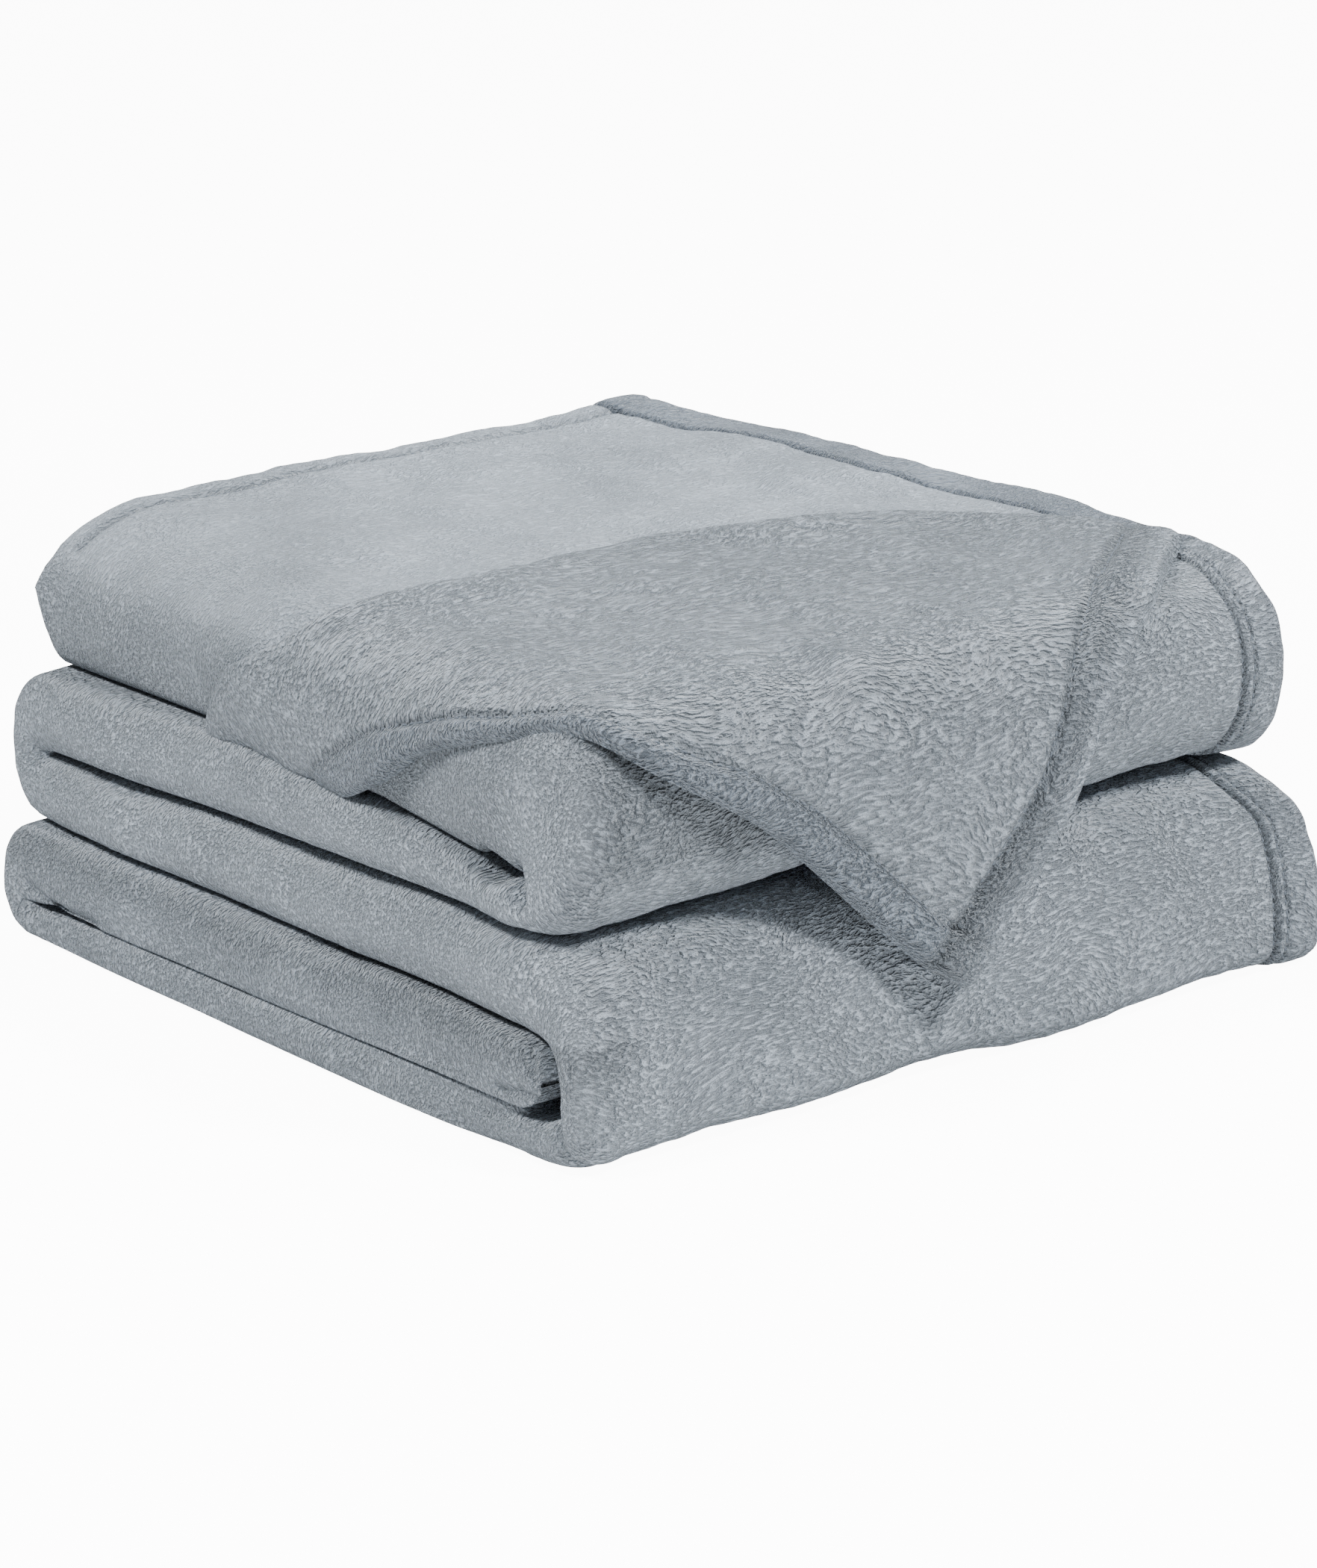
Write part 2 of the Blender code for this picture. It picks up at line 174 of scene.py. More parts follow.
def section(levels, left):
    """The strip's spokes for one end of the stack: a list of (segment, a points, b points)."""
    first, second, third, fourth, top = (
        partial(height_at, levels[name]) for name in ("first", "second", "third", "fourth", "top"))
    parts = []
    # inner run, from its round free end inside the front fold to the back
    tip_ys = [0.0160, 0.0165, 0.0180, 0.0205, 0.0240, 0.0285]
    ys = np.concatenate([tip_ys, np.linspace(0.033, BACK, 105)])
    a, b = flat_run(levels, "first", "second", ys, SEAM, SEAM, True)
    ease = np.sqrt(np.clip(1 - ((0.030 - ys) / 0.0142).clip(0, 1) ** 2, 0.004, 1))[:, None]
    middle = (a + b) / 2
    parts.append(("inner_run", middle + (a - middle) * ease, middle + (b - middle) * ease))
    # lower back fold
    outer = arc(BACK, 0.0225, 0.0, second(BACK) - SEAM, 26)[::-1]
    pole = np.repeat([[BACK + 0.001, first(BACK)]], 26, 0)
    parts.append(("lower_back_fold", pole, outer))
    # bottom run, back to front
    ys = np.linspace(BACK, LOWER_FRONT, 105)
    low = np.stack([ys, 0 * ys], 1)
    high = np.stack([ys, line(levels["first"], ys) - SEAM], 1)
    parts.append(("bottom_run", high, low))
    # lower front fold, bottom to top
    outer = arc(0.0, LOWER_FRONT, 0.0, third(LOWER_FRONT) - BUNDLE_SEAM, 90)
    settled = arc(0.0, LOWER_FRONT + 0.005, 0.0, third(LOWER_FRONT) - BUNDLE_SEAM, 90, 6.0)
    outer = settled + (outer - settled) * smooth(outer[:, 1], 0.020, 0.055)[:, None]
    outer[:, 0] = LOWER_FRONT - outer[:, 0]
    if left:
        inner = [(LOWER_FRONT, first(LOWER_FRONT) - SEAM), (0.020, 0.0165), (0.0125, 0.0230),
                 (0.0135, 0.0350), (0.0200, 0.0455), (LOWER_FRONT, second(LOWER_FRONT) + SEAM)]
    else:
        inner = [(LOWER_FRONT, first(LOWER_FRONT) - SEAM), (0.0230, 0.0215), (0.0185, 0.0340),
                 (0.0230, 0.0455), (LOWER_FRONT, second(LOWER_FRONT) + SEAM)]
    parts.append(("lower_front_fold", rounded_path(inner, 76), evened(outer, 76)))
    # second run, front to back
    ys = np.linspace(LOWER_FRONT, BACK, 105)
    a, b = flat_run(levels, "second", "third", ys, SEAM, BUNDLE_SEAM, True)
    parts.append(("second_run", a, b))
    # middle back fold: the strip turns the other way
    outer = arc(BACK, 0.0230, second(BACK) + SEAM, fourth(BACK) - SEAM, 34)
    pole = np.repeat([[BACK + 0.001, third(BACK)]], 34, 0)
    parts.append(("middle_back_fold", outer, pole))
    # third run, back to front
    ys = np.linspace(BACK, UPPER_FRONT, 100)
    b, a = flat_run(levels, "third", "fourth", ys, BUNDLE_SEAM, SEAM, True)
    parts.append(("third_run", a, b))
    # upper front fold, bottom to top
    outer = arc(0.0, 0.029, third(UPPER_FRONT) + BUNDLE_SEAM, top(0.02), 90, 2.2)
    outer[:, 0] = ROUND - outer[:, 0]
    low_end, high_end = [UPPER_FRONT, third(UPPER_FRONT) + BUNDLE_SEAM], [UPPER_FRONT, top(UPPER_FRONT)]
    outer = np.vstack([low_end, outer, high_end])
    inner_z = fourth(UPPER_FRONT)
    pole = np.linspace([UPPER_FRONT, inner_z - SEAM], [UPPER_FRONT, inner_z + SEAM], 84)
    parts.append(("upper_front_fold", pole, evened(outer, 84)))
    # top run, front to back, with its round free end
    round_ys = TOP_BACK - END_ROUND + END_ROUND * np.sin(np.linspace(0, math.pi / 2, 12))[1:]
    ys = np.concatenate([np.linspace(UPPER_FRONT, TOP_BACK - END_ROUND, 170), round_ys])
    a, b = flat_run(levels, "fourth", "top", ys, SEAM, 0.0, True)
    ease = np.clip(1 - ((ys - TOP_BACK + END_ROUND) / END_ROUND).clip(0, 1) ** 2.6, 0.0004, 1) ** 0.45
    middle = (a + b) / 2
    parts.append(("top_run", middle + (a - middle) * ease[:, None], middle + (b - middle) * ease[:, None]))
    return parts


SEGMENT_INSET = {
    "inner_run": "bottom", "lower_back_fold": "bottom", "bottom_run": "bottom", "lower_front_fold": "second",
    "second_run": "second", "middle_back_fold": "third", "third_run": "third",
}
LOBE_DEPTH = {              # of the left lobe's two halves, on side a and side b
    "inner_run": (0.0016, 0.010), "lower_back_fold": (0.003, 0.006), "bottom_run": (0.0035, 0.0026),
    "lower_front_fold": (0.006, 0.018), "second_run": (0.012, 0.015), "middle_back_fold": (0.013, 0.013),
    "third_run": (0.014, 0.012), "upper_front_fold": (0.018, 0.022), "top_run": (TOP_LOBE, 0.0),
}
UPPER_SEGMENTS = ("third_run", "upper_front_fold", "top_run")

left_parts, right_parts = section(LEFT_LEVELS, True), section(RIGHT_LEVELS, False)
rows = {}
count = 0
A_LEFT, B_LEFT, A_RIGHT, B_RIGHT, INSET, DEPTH_A, DEPTH_B, END = [], [], [], [], [], [], [], []
for (name, a_left, b_left), (_, a_right, b_right) in zip(left_parts, right_parts):
    size = len(a_left)
    start = count - 1 if count else 0
    skip = 1 if count else 0
    rows[name] = (start, start + size)
    A_LEFT.append(a_left[skip:]), B_LEFT.append(b_left[skip:])
    A_RIGHT.append(a_right[skip:]), B_RIGHT.append(b_right[skip:])
    ys = b_left[skip:, 0]
    over = name in ("upper_front_fold", "top_run")
    INSET.append(line(TOP_INSET, ys) if over else np.full(size - skip, LEFT_INSET[SEGMENT_INSET[name]]))
    DEPTH_A.append(np.full(size - skip, LOBE_DEPTH[name][0]))
    DEPTH_B.append(line(TOP_SHOULDER, ys) if name == "top_run" else np.full(size - skip, LOBE_DEPTH[name][1]))
    END.append(np.full(size - skip, UPPER_END if name in UPPER_SEGMENTS else LOWER_END))
    count = start + size
A_LEFT, B_LEFT, A_RIGHT, B_RIGHT = (np.concatenate(x) for x in (A_LEFT, B_LEFT, A_RIGHT, B_RIGHT))
INSET, DEPTH_A, DEPTH_B, END = (np.concatenate(x) for x in (INSET, DEPTH_A, DEPTH_B, END))


def blurred(values, width):
    kernel = np.exp(-0.5 * (np.arange(-3 * width, 3 * width + 1) / width) ** 2)
    padded = np.pad(values, 3 * width, mode="edge")
    return np.convolve(padded, kernel / kernel.sum(), "valid")


INSET, DEPTH_A, DEPTH_B, END = blurred(INSET, 9), blurred(DEPTH_A, 9), blurred(DEPTH_B, 9), blurred(END, 6)
ROWS = count

# ---- Columns round the strip: left lobe, side b, right end with its plies, side a ----
LOBE = 25
EDGE_STEPS = np.array([0.0, 0.0015, 0.003, 0.006, 0.009, 0.0115, 0.0125, 0.0135, 0.014, 0.0145, 0.0155,
                       0.0165, 0.0175, 0.0185, 0.019, 0.0195, 0.020, 0.0205, 0.0215, 0.0228, 0.0245])
WIDE = 144
phi = np.linspace(-math.pi / 2, math.pi / 2, LOBE)
ply_w = np.concatenate([
    0.75 + 0.25 * np.cos(np.linspace(0, math.pi, 6)),
    (0.25 + 0.25 * np.cos(np.linspace(0, math.pi, 6)))[1:],
    (-0.5 + 0.5 * np.cos(np.linspace(0, math.pi, 9)))[1:],
])
ply_e = np.concatenate([
    0.0040 * (1 - np.sin(np.linspace(0, math.pi, 6))) + 0.0015,
    (0.0040 * (1 - np.sin(np.linspace(0, math.pi, 6))) + 0.0005)[1:],
    (0.0060 * (1 - np.sin(np.linspace(0, math.pi, 9))))[1:],
])
ply_e[0], ply_e[-1] = 0.0055, 0.006
column_w = np.concatenate([
    np.sin(phi), np.ones(WIDE - 1), np.ones(len(EDGE_STEPS)), ply_w[1:-1],
    -np.ones(len(EDGE_STEPS)), -np.ones(WIDE // 4)])
COLUMNS = len(column_w)
B_FIRST = LOBE
B_EDGE = LOBE + WIDE - 1
PLIES = B_EDGE + len(EDGE_STEPS)
A_EDGE = PLIES + len(ply_w) - 2
A_WIDE = A_EDGE + len(EDGE_STEPS)


def top_edge_inset(y, is_top):
    """The top run's upper edge runs oblique: it draws in towards the back."""
    return is_top * TOP_OBLIQUE * (y.clip(0) / TOP_BACK) ** 2.5


IS_TOP = np.zeros(ROWS)
IS_TOP[rows["top_run"][0]:] = 1
IS_TOP = blurred(IS_TOP, 4)
row_y = (B_LEFT[:, 0] + B_RIGHT[:, 0]) / 2
oblique = top_edge_inset(row_y, IS_TOP)

X = np.zeros((ROWS, COLUMNS))
lobe_curve = 1 - np.abs(np.cos(phi)) ** np.where(phi > 0, 0.9, 0.7)
X[:, :LOBE] = INSET[:, None] + np.where(phi > 0, DEPTH_B[:, None], DEPTH_A[:, None]) * lobe_curve[None]
b_end = END - 0.0055 - oblique
follows = 0.8 * smooth(row_y, 0.10, 0.30)
a_end = END - 0.006 - oblique * follows
b_start = X[:, LOBE - 1]
share = np.linspace(0, 1, WIDE)[1:]
b_inner = b_end - EDGE_STEPS[-1]
X[:, B_FIRST:B_EDGE] = b_start[:, None] + (b_inner - b_start)[:, None] * share[None]
X[:, B_EDGE:PLIES] = b_end[:, None] - EDGE_STEPS[::-1][None]
X[:, B_EDGE] = b_end - EDGE_STEPS[-1] + 0.0006
slope_share = (ply_w[1:-1] + 1) / 2
drawn_in = follows[:, None] + (1 - follows[:, None]) * slope_share[None]
X[:, PLIES:A_EDGE] = END[:, None] - ply_e[1:-1][None] - oblique[:, None] * drawn_in
X[:, A_EDGE:A_WIDE] = a_end[:, None] - EDGE_STEPS[None]
a_inner = a_end - EDGE_STEPS[-1]
a_start = X[:, 0]
share = np.linspace(0, 1, WIDE // 4 + 2)[1:-1]
X[:, A_WIDE:] = a_inner[:, None] + (a_start - a_inner)[:, None] * share[None]

mix = smooth(X, 0.05, 0.18)[..., None]
half = ((column_w + 1) / 2)[None, :, None]
on_left = A_LEFT[:, None] + (B_LEFT - A_LEFT)[:, None] * half
on_right = A_RIGHT[:, None] + (B_RIGHT - A_RIGHT)[:, None] * half
YZ = on_left * (1 - mix) + on_right * mix
P = np.concatenate([X[..., None], YZ], -1)

# The lower bundle's right end draws in towards its top, and its upper right edge is well rounded
lower = 1 - smooth(P[..., 2], 0.0845, 0.0875)
near_end = smooth(P[..., 0], 0.24, 0.38)
drawn = 0.003 * smooth(P[..., 2], 0.03, 0.06) + 0.021 * smooth(P[..., 2], 0.055, 0.095)
P[..., 0] -= lower * near_end * drawn
P[..., 0] -= (1 - lower) * near_end * 0.005 * smooth(P[..., 2], 0.140, 0.165)
P[..., 2] -= lower * 0.004 * smooth(P[..., 0], 0.325, 0.375) * smooth(P[..., 2], 0.06, 0.085)


def grid_normals(points, cyclic=True):
    """Outward normals of a grid of rows round the strip."""
    along = np.gradient(points, axis=0)
    if cyclic:
        round_ = np.roll(points, -1, 1) - np.roll(points, 1, 1)
    else:
        round_ = np.gradient(points, axis=1)
    normal = np.cross(along, round_)
    length = np.linalg.norm(normal, axis=-1, keepdims=True)
    return normal / np.maximum(length, 1e-12)


def segment_distance(points, path):
    """Distance of points to a polyline."""
    best = np.full(points.shape[:-1], 9.0)
    path = np.asarray(path, float)
    for start, end in zip(path[:-1], path[1:]):
        run = end - start
        t = np.clip(((points - start) @ run) / (run @ run), 0, 1)
        best = np.minimum(best, np.linalg.norm(points - start - t[..., None] * run, axis=-1))
    return best


N = grid_normals(P)
front_row = rows["lower_front_fold"][0] + 38
if N[front_row, B_FIRST + 60] @ np.array([0, -1, 0]) < 0:
    N = -N
    FLIP = True
else:
    FLIP = False

# How much of the waviness each side shows: hidden sides that face another run stay calm
calm_a, calm_b = np.full(ROWS, 0.1), np.full(ROWS, 0.1)
for name in ("lower_back_fold", "lower_front_fold", "upper_front_fold", "top_run"):
    calm_b[rows[name][0]:rows[name][1]] = 1
calm_a[rows["middle_back_fold"][0]:rows["middle_back_fold"][1]] = 1
calm_a, calm_b = blurred(calm_a, 4), blurred(calm_b, 4)
w = column_w[None]
calm = np.where(w < 0, 1 - (1 - calm_a[:, None]) * smooth(-w, 0.6, 1.0),
                1 - (1 - calm_b[:, None]) * smooth(w, 0.6, 1.0))

edge_distance = np.zeros((ROWS, COLUMNS))
edge_distance[:, :A_EDGE] = np.maximum(b_end[:, None] - X[:, :A_EDGE], 0)
edge_distance[:, A_EDGE:] = np.maximum(a_end[:, None] - X[:, A_EDGE:], 0)
edge_distance[:, PLIES:A_EDGE] = 0
band = 1 - smooth(edge_distance, HEM - 0.003, HEM - 0.0005)
groove = bump(edge_distance, HEM, 0.0012)
fold_rows = np.zeros(ROWS)
for name in ("lower_front_fold", "upper_front_fold"):
    fold_rows[rows[name][0]:rows[name][1]] = 1
second_groove = bump(edge_distance, HEM - ROWS_APART, 0.0010) * fold_rows[:, None]
back_distance = np.where(IS_TOP > 0.5, TOP_BACK - row_y, 1.0)[:, None]
on_top = (w > 0.5) * (IS_TOP[:, None] > 0.5)
back_band = (1 - smooth(back_distance, HEM - 0.003, HEM - 0.0005)) * on_top
back_groove = bump(back_distance, HEM, 0.0013) * on_top

shift = 0.0009 * SWELL(P) * calm + 0.00022 * RIPPLE(P) * calm + 0.00010 * PILE(P) * calm
shift += 0.0008 * band * calm - 0.0019 * groove * calm - 0.0012 * second_groove * calm
shift += 0.0007 * back_band * (1 - 0.4 * band) - 0.0014 * back_groove * (1 - 0.8 * band)

# Creases in the left ends of the runs, pressed into the cloth and darkened with painted shade
left_face = 1 - smooth(P[..., 0], 0.020, 0.034)
flat = P.copy()
flat[..., 0] = 0
CREASES = [
    ([(0, 0.014, 0.0255), (0, 0.010, 0.014), (0, 0.006, 0.004)], 0.0022, 0.0026),
    ([(0, 0.014, 0.0255), (0, 0.022, 0.037), (0, 0.026, 0.045)], 0.0020, 0.0026),
    ([(0, 0.014, 0.0255), (0, 0.026, 0.027), (0, 0.042, 0.024)], 0.0020, 0.0022),
    ([(0, 0.014, 0.0255), (0, 0.028, 0.018), (0, 0.050, 0.013)], 0.0020, 0.0018),
    ([(0, 0.345, 0.022), (0, 0.325, 0.017), (0, 0.300, 0.018)], 0.0022, 0.0020),
    ([(0, 0.345, 0.012), (0, 0.325, 0.017)], 0.0020, 0.0016),
    ([(0, 0.064, 0.1045), (0, 0.054, 0.1015)], 0.0034, 0.0042),
    ([(0, 0.041, 0.1035), (0, 0.036, 0.0965)], 0.0030, 0.0042),
]
# Painted shade in the topstitch grooves: the side hems' groove, the front folds' second row and the top run's
# back hem groove
SHADE = (1 - 0.60 * bump(edge_distance, HEM, 0.0018) - 0.50 * second_groove
         - 0.50 * bump(back_distance, HEM, 0.0024) * on_top * (1 - 0.8 * band))
for path, width, depth in CREASES:
    crease = np.exp(-(segment_distance(flat, path) / width) ** 2) * left_face
    shift -= depth * crease
    SHADE -= 0.25 * crease
# Painted shade in soft valleys where the runs meet at the left end and on the inner run below them, and
# painted light on the bulging middles of the left lobes above the inner run
valley_z = line([(0.0, 0.0445), (0.34, 0.0400)], P[..., 1])
under_seam = np.exp(-(np.maximum(valley_z - P[..., 2], 0) / 0.011) ** 2)
under_seam *= (P[..., 2] > 0.012) * (P[..., 2] < valley_z + 0.004)
SHADE *= 1 - left_face * (0.34 * under_seam + 0.18 * np.abs(w) ** 4 * (P[..., 2] > 0.045))
SHADE *= 1 + 0.10 * left_face * smooth(P[..., 2], 0.050, 0.060) * (1 - np.abs(w) ** 2)
# Painted shadow of the turned corner's arch on the upper fold
SHADE *= 1 - (0.46 * smooth(P[..., 2], 0.098, 0.113) * (1 - smooth(P[..., 0], 0.22, 0.30))
              * smooth(P[..., 0], 0.002, 0.030) * (1 - smooth(P[..., 1], 0.010, 0.040)))
# Nap brushed the other way on the top run's left shoulder
past_brush = P[..., 0] - np.maximum(0.030 + 0.55 * (P[..., 1] - 0.17), 0.030)
brushed = (1 - smooth(past_brush, -0.010, 0.045)) * smooth(P[..., 2], 0.100, 0.112)
SHADE *= 1 - 0.26 * brushed * IS_TOP[:, None]
NAP = 1 - 0.55 * IS_TOP[:, None] * smooth(P[..., 1], 0.05, 0.10) * smooth(P[..., 2], 0.135, 0.160)
SHADE = np.stack([SHADE.clip(0.25, 1.1), NAP], -1)
P = P + N * shift[..., None]
N = grid_normals(P) * (-1 if FLIP else 1)


# ---- Materials ----

def feed(tree, socket, value):
    """Links a socket to another node's output, or sets its own value."""
    if isinstance(value, bpy.types.NodeSocket):
        tree.links.new(value, socket)
    else:
        socket.default_value = value


def noise(tree, vector, scale, detail=2.0, roughness=0.5, distortion=0.0):
    node = tree.nodes.new("ShaderNodeTexNoise")
    names = ("Vector", "Scale", "Detail", "Roughness", "Distortion")
    for name, value in zip(names, (vector, scale, detail, roughness, distortion)):
        feed(tree, node.inputs[name], value)
    return node


def ranged(tree, value, start, end, low=0.0, high=1.0, interpolation="LINEAR"):
    node = tree.nodes.new("ShaderNodeMapRange")
    node.interpolation_type = interpolation
    names = ("Value", "From Min", "From Max", "To Min", "To Max")
    for name, setting in zip(names, (value, start, end, low, high)):
        feed(tree, node.inputs[name], setting)
    return node.outputs[0]


def maths(tree, operation, *values):
    node = tree.nodes.new("ShaderNodeMath")
    node.operation = operation
    for socket, value in zip(node.inputs, values):
        feed(tree, socket, value)
    return node.outputs[0]


def vector_maths(tree, operation, first, second=None, scale=None):
    node = tree.nodes.new("ShaderNodeVectorMath")
    node.operation = operation
    feed(tree, node.inputs[0], first)
    if second is not None:
        feed(tree, node.inputs[1], second)
    if scale is not None:
        feed(tree, node.inputs["Scale"], scale)
    return node.outputs[0]


def attribute(tree, name):
    """A value stored on the mesh's points."""
    node = tree.nodes.new("ShaderNodeAttribute")
    node.attribute_name = name
    return node.outputs["Fac"]


def nap_ridges(tree, place, warped, pitch):
    """Short ridges in two directions, each in its own patches."""
    grains = []
    for turn in ((0.3, 0.2, 0.5), (0.9, -0.4, 1.9)):
        mapping = tree.nodes.new("ShaderNodeMapping")
        for name, value in (("Vector", warped), ("Rotation", turn), ("Scale", (0.30, 1.0, 0.85))):
            feed(tree, mapping.inputs[name], value)
        grains.append(noise(tree, mapping.outputs[0], 1.0 / pitch, 1.5, 0.55, 0.35).outputs["Fac"])
    chooser = noise(tree, place, 30.0)
    nap = tree.nodes.new("ShaderNodeMix")
    feed(tree, nap.inputs["Factor"], ranged(tree, chooser.outputs["Fac"], 0.44, 0.56))
    feed(tree, nap.inputs["A"], grains[0])
    feed(tree, nap.inputs["B"], grains[1])
    return ranged(tree, nap.outputs["Result"], 0.34, 0.64, interpolation="SMOOTHSTEP")


def fleece_material(name, colour, pitch, depth, patches, dark):
    """Plush fleece: short wavy nap ridges, light and dark patches, and a soft sheen."""
    material = bpy.data.materials.new(name)
    material.use_nodes = True
    tree = material.node_tree
    shader = tree.nodes["Principled BSDF"]
    place = tree.nodes.new("ShaderNodeTexCoord").outputs["Object"]
    wander = noise(tree, place, 16.0, 1.0).outputs["Color"]
    sideways = vector_maths(tree, "SUBTRACT", wander, (0.5, 0.5, 0.5))
    warped = vector_maths(tree, "ADD", place, vector_maths(tree, "SCALE", sideways, scale=0.034))
    fibres = noise(tree, place, 1400.0).outputs["Fac"]
    height = maths(tree, "MULTIPLY_ADD", fibres, 0.45, nap_ridges(tree, place, warped, pitch))
    nap = attribute(tree, "nap")
    raised = tree.nodes.new("ShaderNodeBump")
    relief = maths(tree, "MULTIPLY", height, nap)
    for socket, value in (("Strength", 1.0), ("Distance", depth), ("Height", relief)):
        feed(tree, raised.inputs[socket], value)
    feed(tree, shader.inputs["Normal"], raised.outputs[0])
    cloud = noise(tree, warped, 16.0, 5.0, 0.6).outputs["Fac"]
    tone = ranged(tree, cloud, 0.3, 0.7, 1 - patches, 1 + patches)
    # Painted shade in the nap's valleys: the colour darkens where the nap is low
    valley = ranged(tree, height, 0.15, 1.25, ranged(tree, nap, 0.0, 1.0, 1.0, dark), 1.0)
    shaded = maths(tree, "MULTIPLY", maths(tree, "MULTIPLY", tone, valley), attribute(tree, "shade"))
    feed(tree, shader.inputs["Base Color"], vector_maths(tree, "SCALE", colour, scale=shaded))
    for socket, value in (("Roughness", 0.95), ("Specular IOR Level", 0.15), ("Sheen Weight", 0.5),
                          ("Sheen Roughness", 0.45), ("Sheen Tint", (0.86, 0.93, 1.0, 1.0))):
        feed(tree, shader.inputs[socket], value)
    return material


def plain_material(name, colour, roughness):
    material = bpy.data.materials.new(name)
    material.use_nodes = True
    shader = material.node_tree.nodes["Principled BSDF"]
    shader.inputs["Base Color"].default_value = (*colour, 1.0)
    shader.inputs["Roughness"].default_value = roughness
    return material


FLEECE = fleece_material(
    "plush_fleece", (0.515, 0.592, 0.680), 0.00110, 0.0040, patches=0.14, dark=0.38)
INNER_FLEECE = fleece_material(
    "inner_fleece", (0.500, 0.577, 0.668), 0.00110, 0.0040, patches=0.28, dark=0.38)
CORNER_FLEECE = fleece_material(
    "corner_fleece", (0.500, 0.575, 0.662), 0.00145, 0.0060, patches=0.12, dark=0.36)
HEM_FLEECE = fleece_material(
    "hem_fleece", (0.440, 0.510, 0.594), 0.00110, 0.0036, patches=0.18, dark=0.36)
DARK_HEM_FLEECE = fleece_material(
    "dark_hem_fleece", (0.225, 0.268, 0.325), 0.0011, 0.0030, patches=0.18, dark=0.26)
# The rolled front hem's fleece is darker: painted shade
SHADED_FRONT_HEM_FLEECE = fleece_material(
    "rolled_hem_shaded_fleece", (0.250, 0.298, 0.360), 0.0010, 0.0026, patches=0.14, dark=0.28)
THREAD = plain_material("thread", (0.16, 0.19, 0.23), 0.8)


# ---- Meshes cut from the grid ----

def mesh_object(name, vertices, normals, shade, faces, material):
    mesh = bpy.data.meshes.new(name)
    mesh.from_pydata((vertices + ORIGIN).tolist(), [], faces)
    mesh.update()
    for attribute, values in zip(("shade", "nap"), shade.T):
        mesh.attributes.new(attribute, "FLOAT", "POINT").data.foreach_set("value", values.astype(np.float32))
    mesh.shade_smooth()
    mesh.normals_split_custom_set_from_vertices(normals.tolist())
    mesh.materials.append(material)
    obj = bpy.data.objects.new(name, mesh)
    bpy.context.scene.collection.objects.link(obj)
    return obj


def strip_piece(name, first, last, columns, material):
    """A closed piece of the strip: its rows from first to last, and a loop of its columns."""
    columns = np.asarray(columns)
    vertices = P[first:last][:, columns].reshape(-1, 3)
    normals = N[first:last][:, columns].reshape(-1, 3)
    shade = SHADE[first:last][:, columns].reshape(-1, 2)
    height, width = last - first, len(columns)
    faces = []
    for r in range(height - 1):
        for c in range(width):
            d = (c + 1) % width
            quad = (r * width + c, r * width + d, (r + 1) * width + d, (r + 1) * width + c)
            faces.append(quad if FLIP else quad[::-1])
    caps = [tuple(range(width)), tuple(range((height - 1) * width, height * width))]
    caps[0] = caps[0][::-1] if FLIP else caps[0]
    caps[1] = caps[1] if FLIP else caps[1][::-1]
    return mesh_object(name, vertices, normals, shade, faces + caps, material)


GROOVE_B = B_EDGE + int(np.argmin(np.abs(EDGE_STEPS[::-1] - HEM)))
GROOVE_A = A_EDGE + int(np.argmin(np.abs(EDGE_STEPS - HEM)))
sparse = list(range(B_FIRST, B_EDGE, 4))
body_dense = list(range(0, GROOVE_B + 1)) + list(range(GROOVE_A, COLUMNS))
body_sparse = (list(range(0, LOBE)) + sparse + list(range(B_EDGE, GROOVE_B + 1))
               + list(range(GROOVE_A, COLUMNS)))
hem_columns = list(range(GROOVE_B, GROOVE_A + 1))

PIECES = [
    ("inner_run_cloth", "inner_run", body_sparse, INNER_FLEECE, "lower_stack", "fleece",
     ("inner_run", "inner_end_hem")),
    ("inner_side_hem_cloth", "inner_run", hem_columns, HEM_FLEECE, "lower_stack", "hem", ("inner_side_hem",)),
    ("lower_back_fold_cloth", "lower_back_fold", None, FLEECE, "lower_stack", "fleece", ("lower_back_fold",)),
    ("bottom_run_cloth", "bottom_run", body_sparse, FLEECE, "lower_stack", "fleece", ("bottom_run",)),
    ("bottom_side_hem_cloth", "bottom_run", hem_columns, HEM_FLEECE, "lower_stack", "hem",
     ("bottom_side_hem",)),
    ("lower_front_fold_cloth", "lower_front_fold", body_dense, FLEECE, "lower_stack", "fleece",
     ("lower_front_fold",)),
    ("lower_fold_side_hem_cloth", "lower_front_fold", hem_columns, HEM_FLEECE, "lower_stack", "hem",
     ("lower_fold_side_hem",)),
    ("second_run_cloth", "second_run", body_sparse, FLEECE, "lower_stack", "fleece", ("second_run",)),
    ("second_side_hem_cloth", "second_run", hem_columns, HEM_FLEECE, "lower_stack", "hem",
     ("second_side_hem",)),
    ("third_run_cloth", "third_run", body_sparse, FLEECE, "upper_stack", "fleece", ("third_run",)),
    ("third_side_hem_cloth", "third_run", hem_columns, HEM_FLEECE, "upper_stack", "hem", ("third_side_hem",)),
    ("upper_front_fold_cloth", "upper_front_fold", body_dense, FLEECE, "upper_stack", "fleece",
     ("upper_front_fold",)),
    ("upper_fold_side_hem_cloth", "upper_front_fold", hem_columns, HEM_FLEECE, "upper_stack", "hem",
     ("upper_fold_side_hem",)),
    ("top_side_hem_cloth", "top_run", hem_columns, DARK_HEM_FLEECE, "upper_stack", "hem", ("top_side_hem",)),
]
for name, segment, columns, material, body, slot, nodes in PIECES:
    first, last = rows[segment]
    piece = strip_piece(name, first, last, columns or list(range(COLUMNS)), material)
    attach(piece, body)
    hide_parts(*nodes)

